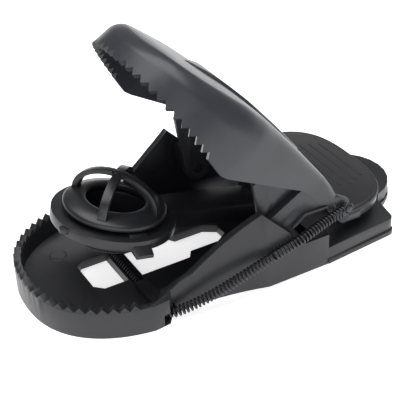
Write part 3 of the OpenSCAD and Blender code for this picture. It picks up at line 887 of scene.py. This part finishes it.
@dataclass
class Pedal:
    """The foot pedal: a tread with a rolled rim and grip ribs, over a skirt."""

    half: float = 20.3
    front: float = 27.475
    reach: float = 17.0
    top: float = 10.7
    deep: float = 3.4
    tread: float = 1.4
    horn_clear: float = 17.2
    ribs: int = 5
    rib_gap: float = 2.3
    rib_half: float = 11.0
    rib_radius: float = 0.32
    rib_rise: float = 0.16

    def curve(self, inset: float) -> list[Flat]:
        """Round rear outline from the right side to the left side, pulled in by inset."""
        angles = [3 + 3 * k for k in range(30)]
        half = []
        for angle in angles[:-1]:
            c, s = math.cos(math.radians(angle)) ** 0.7, math.sin(math.radians(angle)) ** 0.7
            half.append(((self.half - inset) * c, self.front - 4 + inset + (self.reach - 2 * inset) * s))
        return half + [(0.0, self.front - 4 + self.reach - inset)] + [(-x, y) for x, y in reversed(half)]

    def outline(self, inset: float) -> list[Flat]:
        """Whole plan of the tread, with a wing over each rail."""
        wing, notch = self.front - 4.2, self.front - 1.8
        x_in = self.horn_clear
        right = [(x_in + inset, notch + inset), (x_in + inset, wing + inset)]
        right.append((self.half - inset, wing + inset))
        left = [(-x, y) for x, y in reversed(right)]
        return self.curve(inset) + left + right

    def skirt(self, low: float, high: float) -> bpy.types.Object:
        """The wall that hangs from the tread's edge, and the slab inside it."""
        front = self.front + 0.4
        rings = []
        outside = ((0.30, high), (0.30, low + 0.5), (0.5, low))
        inside = ((1.9, low), (2.2, low + 0.4), (2.2, high - 1.2))
        for inset, z in (*outside, *inside):
            ring = [(x, y, z) for x, y in self.curve(inset) if y > front]
            rings.append(ring)
        n = min(len(r) for r in rings)
        trimmed = []
        for ring in rings:
            extra = (len(ring) - n) // 2
            trimmed.append(ring[extra : extra + n])
        points = [p for ring in trimmed for p in ring]
        count = len(trimmed)
        faces: list = []
        for j in range(count):
            a, b = j * n, (j + 1) % count * n
            faces += [(a + k, a + k + 1, b + k + 1, b + k) for k in range(n - 1)]
        faces += [[j * n for j in range(count)], [j * n + n - 1 for j in range(count)]]
        wall = Workshop.from_faces("skirt", points, faces)
        slab_ring = [(x, y) for x, y in self.curve(1.0) if y > front]
        slab_ring += [(slab_ring[-1][0], front), (slab_ring[0][0], front)]
        slab = Workshop.prism("slab", slab_ring, high - 1.2, high - 0.02, across=False)
        return Workshop.join("skirt", [wall, slab])

    def surface(self) -> bpy.types.Object:
        """The tread with its rolled rim."""
        low = self.top - self.tread
        side = ((0.12, low), (0.0, low + 0.25), (0.0, self.top - 0.75))
        roll = ((0.06, 0.45), (0.22, 0.18), (0.5, 0.03), (0.9, 0.0), (1.25, 0.06), (1.6, 0.22))
        levels = (*side, *((inset, self.top - drop) for inset, drop in roll))
        rings = [[(x, y, z) for x, y in self.outline(inset)] for inset, z in levels]
        obj = Workshop.loops("pedal_tread_look", rings)
        Workshop.smooth(obj, 40.0)
        return obj

    def grip_tree(self) -> Tree:
        """The tree that lays the grip ribs side by side."""
        tree = Tree("grip_ribs", {"Count": 5, "Gap": 0.002, "Half Length": 0.01, "Radius": 0.0003})
        entry = tree.entry.outputs
        back = tree.maths("MULTIPLY", entry["Half Length"], -1.0)
        start = tree.node("ShaderNodeCombineXYZ", {}, {"X": back}).outputs[0]
        stop = tree.node("ShaderNodeCombineXYZ", {}, {"X": entry["Half Length"]}).outputs[0]
        line = tree.node("GeometryNodeCurvePrimitiveLine", {}, {"Start": start, "End": stop}).outputs[0]
        round_of_ten = {"Resolution": 10, "Radius": entry["Radius"]}
        ring = tree.node("GeometryNodeCurvePrimitiveCircle", {}, round_of_ten).outputs[0]
        values = {"Curve": line, "Profile Curve": ring, "Fill Caps": True}
        rib = tree.node("GeometryNodeCurveToMesh", {}, values).outputs[0]
        step = tree.node("ShaderNodeCombineXYZ", {}, {"Y": entry["Gap"]}).outputs[0]
        row = tree.node("GeometryNodeMeshLine", {}, {"Count": entry["Count"], "Offset": step}).outputs[0]
        laid = tree.node("GeometryNodeInstanceOnPoints", {}, {"Points": row, "Instance": rib}).outputs[0]
        index = tree.node("GeometryNodeInputIndex", {}, {}).outputs[0]
        away = tree.maths("ABSOLUTE", tree.maths("SUBTRACT", index, (self.ribs - 1) / 2))
        share = tree.maths("SUBTRACT", 1.0, tree.maths("MULTIPLY", away, 0.09))
        size = tree.node("ShaderNodeCombineXYZ", {}, {"X": share, "Y": 1.0, "Z": 1.0}).outputs[0]
        sized = tree.node("GeometryNodeScaleInstances", {}, {"Instances": laid, "Scale": size}).outputs[0]
        finish = Finish.PEDAL.value[0]
        tree.end(sized, bpy.data.materials.get(finish.name) or finish.build())
        return tree

    def ribs_piece(self) -> bpy.types.Object:
        """The grip ribs, as one mesh."""
        seed = Workshop.place("pedal_ribs", bpy.data.meshes.new("pedal_ribs"))
        lengths = {"Gap": self.rib_gap, "Half Length": self.rib_half, "Radius": self.rib_radius}
        sizes = {"Count": self.ribs, **{key: length * MM for key, length in lengths.items()}}
        ribs = self.grip_tree().grow(seed, sizes)
        first = self.front + 4.6 - self.rib_gap * (self.ribs - 1) / 2
        height = self.top - 0.22 + self.rib_rise - self.rib_radius
        ribs.data.transform(Matrix.Translation(Vector((0, first, height)) * MM))
        Workshop.smooth(ribs, 50.0)
        return ribs

    def build(self, frame: dict) -> None:
        """Builds and dresses the tread and its ribs.
        """
        tread = Finish.PEDAL.dress(self.surface())
        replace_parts(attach(tread, "jaw"), "pedal_tread")
        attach(Finish.PEDAL.dress(self.ribs_piece()), "jaw")
        LOG.info("pedal: tread, ribs")


# ---- Trigger and bait -------------------------------------------------------------------------


@dataclass
class Trigger:
    """The trigger arm with its dish, and the cup, cap and cage that hold the bait."""

    def build(self, frame: dict) -> None:
        """Builds and dresses the pieces.
        """
        arm = Finish.TRIGGER.dress(Workshop.refined(frame, "trigger", 0.3))
        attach(arm, "trigger")
        for node, width in (("bait_cup", 0.3), ("bait_cap", 0.25), ("bait_cage", 0.4)):
            piece = Finish.TRIGGER.dress(Workshop.refined(frame, node, width, 3))
            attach(piece, "bait_holder")
        LOG.info("trigger: arm, cup, cap, cage")


# ---- Spring -----------------------------------------------------------------------------------


@dataclass
class Spring:
    """The long extension spring: a cross run under the bowl and a run up each side."""

    coil_d: float = 2.6
    wire_d: float = 0.55
    pitch: float = 0.92
    per_turn: int = 14
    cross_end: float = 19.5
    cross_place: Flat = (-24.8, 1.6)
    side_path: tuple = (
        (19.4, -24.8, 1.6),
        (20.7, -23.8, 1.65),
        (21.8, -21.5, 1.95),
        (23.3, -13.5, 4.2),
        (24.66, -0.1, 9.1),
        (24.66, 2.4, 9.8),
        (24.5, 8.9, 11.3),
        (22.7, 16.5, 12.0),
        (21.9, 20.6, 12.2),
        (21.7, 22.0, 12.3),
    )

    def tree(self) -> Tree:
        """The tree that winds a wire round a path."""
        tree = Tree("coil", {"Turns": 50, "Coil Radius": 0.001, "Wire Radius": 0.0003})
        entry = tree.entry.outputs
        count = tree.maths("MULTIPLY", entry["Turns"], float(self.per_turn))
        values = {"Curve": entry["Geometry"], "Count": count}
        path = tree.node("GeometryNodeResampleCurve", {}, values).outputs[0]
        index = tree.node("GeometryNodeInputIndex", {}, {}).outputs[0]
        angle = tree.maths("MULTIPLY", index, math.tau / self.per_turn)
        normal = tree.node("GeometryNodeInputNormal", {}, {}).outputs[0]
        tangent = tree.node("GeometryNodeInputTangent", {}, {}).outputs[0]
        side = tree.vector("CROSS_PRODUCT", {0: tangent, 1: normal})
        first = tree.vector("SCALE", {0: normal, "Scale": tree.maths("COSINE", angle)})
        second = tree.vector("SCALE", {0: side, "Scale": tree.maths("SINE", angle)})
        turn = tree.vector("ADD", {0: first, 1: second})
        offset = tree.vector("SCALE", {0: turn, "Scale": entry["Coil Radius"]})
        wound = tree.node("GeometryNodeSetPosition", {}, {"Geometry": path, "Offset": offset}).outputs[0]
        values = {"Resolution": 8, "Radius": entry["Wire Radius"]}
        ring = tree.node("GeometryNodeCurvePrimitiveCircle", {}, values)
        values = {"Curve": wound, "Profile Curve": ring.outputs[0], "Fill Caps": True}
        wire = tree.node("GeometryNodeCurveToMesh", {}, values).outputs[0]
        shaded = tree.node("GeometryNodeSetShadeSmooth", {}, {"Geometry": wire}).outputs[0]
        finish = Finish.SPRING.value[0]
        tree.end(shaded, bpy.data.materials.get(finish.name) or finish.build())
        return tree

    def run(self, tree: Tree, name: str, points: Sequence[Point]) -> bpy.types.Object:
        """One run of coils.

        Args:
            tree: the coil tree.
            name: the object's name.
            points: the run's middle line in millimetres.

        Returns:
            The finished mesh.
        """
        curve = bpy.data.curves.new(name, "CURVE")
        curve.dimensions = "3D"
        spline = curve.splines.new("POLY")
        path = smooth_path(points, 8)
        spline.points.add(len(path) - 1)
        for p, q in zip(spline.points, path):
            p.co = (*[c * MM for c in q], 1.0)
        length = sum((Vector(b) - Vector(a)).length for a, b in zip(path, path[1:]))
        obj = bpy.data.objects.new(name, curve)
        bpy.context.scene.collection.objects.link(obj)
        radius = (self.coil_d - self.wire_d) / 2 * MM
        turns = round(length / self.pitch)
        sizes = {"Turns": turns, "Coil Radius": radius, "Wire Radius": self.wire_d / 2 * MM}
        made = tree.grow(obj, sizes)
        made.name = name
        return Finish.SPRING.dress(made)

    def build(self, frame: dict) -> None:
        """Builds and dresses the runs and the end eyes.
        """
        tree = self.tree()
        y, z = self.cross_place
        ends = [(x, y, z) for x in (-self.cross_end, 0, self.cross_end)]
        cross = self.run(tree, "spring_cross_coils", ends)
        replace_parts(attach(cross, "tray"), "spring_cross")
        for name, side in (("spring_right", 1), ("spring_left", -1)):
            coils = self.run(tree, name + "_coils", [(side * p[0], p[1], p[2]) for p in self.side_path])
            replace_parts(coils, name)
            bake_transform(coils)
            eye = Finish.SPRING.dress(Workshop.refined(frame, name.replace("spring", "spring_eye"), 0.02, 1))
            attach(eye, "jaw")
        LOG.info("spring: cross run, side runs, eyes")


# ---- Studio -----------------------------------------------------------------------------------


@dataclass
class Studio:
    """Pale floor, soft light and the camera."""

    azimuth: float = 61.45
    elevation: float = 33.52
    roll: float = 2.40
    distance: float = 271.5
    lens: float = 100.73
    target: Point = (-4.66, -1.22, 9.05)

    def build(self) -> None:
        """Builds the floor, the lights and the camera."""
        self.floor()
        self.light("top", (-0.10, 0.05, 0.85), 0.9, 8.5)
        self.light("front", (0.62, -0.42, 0.22), 0.7, 2.4)
        world = bpy.data.worlds.new("studio")
        world.use_nodes = True
        world.node_tree.nodes["Background"].inputs["Color"].default_value = (1.0, 1.0, 1.0, 1.0)
        world.node_tree.nodes["Background"].inputs["Strength"].default_value = 0.22
        bpy.context.scene.world = world
        bpy.context.scene.view_settings.view_transform = "Standard"
        self.camera()

    def floor(self) -> None:
        """A large pale floor just under the tray."""
        half = 3000.0
        outline = [(-half, -half), (half, -half), (half, half), (-half, half)]
        floor = Workshop.prism("floor", outline, -1.0, -0.02, across=False)
        shader = Shader("floor_paper")
        tone = shader.noise(0.01, 2.0)
        colour = shader.mix(tone, (0.90, 0.90, 0.90, 1.0), (0.93, 0.93, 0.93, 1.0))
        shader.feed(shader.bsdf.inputs["Base Color"], colour)
        shader.bsdf.inputs["Roughness"].default_value = 0.7
        shader.bsdf.inputs["Emission Color"].default_value = (1.0, 1.0, 1.0, 1.0)
        shader.bsdf.inputs["Emission Strength"].default_value = 0.7
        floor.data.materials.append(shader.material)

    def light(self, name: str, place: Point, size: float, power: float) -> None:
        """A square soft light that points at the trap.

        Args:
            name: the light's name.
            place: where it stands, in metres.
            size: its side, in metres.
            power: in watts.
        """
        data = bpy.data.lights.new(name, "AREA")
        data.size = size
        data.energy = power
        lamp = bpy.data.objects.new(name, data)
        lamp.location = place
        lamp.rotation_euler = (-Vector(place)).to_track_quat("-Z", "Y").to_euler()
        bpy.context.scene.collection.objects.link(lamp)

    def camera(self) -> None:
        """The camera, above and to the right of the mouth."""
        a, e = math.radians(self.azimuth), math.radians(self.elevation)
        back = Vector((math.sin(a) * math.cos(e), -math.cos(a) * math.cos(e), math.sin(e)))
        data = bpy.data.cameras.new("camera")
        data.lens = self.lens
        data.sensor_width = 36.0
        data.clip_start = 0.01
        camera = bpy.data.objects.new("camera", data)
        camera.location = (Vector(self.target) + back * self.distance) * MM
        turn = (-back).to_track_quat("-Z", "Y").to_matrix().to_4x4()
        spin = Matrix.Rotation(math.radians(-self.roll), 4, "Z")
        camera.rotation_euler = (turn @ spin).to_euler()
        bpy.context.scene.collection.objects.link(camera)
        bpy.context.scene.camera = camera


def main() -> None:
    """Builds the trap and the studio."""
    logging.basicConfig(level=logging.INFO, format="%(name)s: %(message)s")
    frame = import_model()
    makers: tuple = (Tray(), Jaw(), Pedal(), Trigger(), Spring())
    for maker in makers:
        maker.build(frame)
    Studio().build()
    LOG.info("boxes written")


if __name__ == "__main__":
    main()
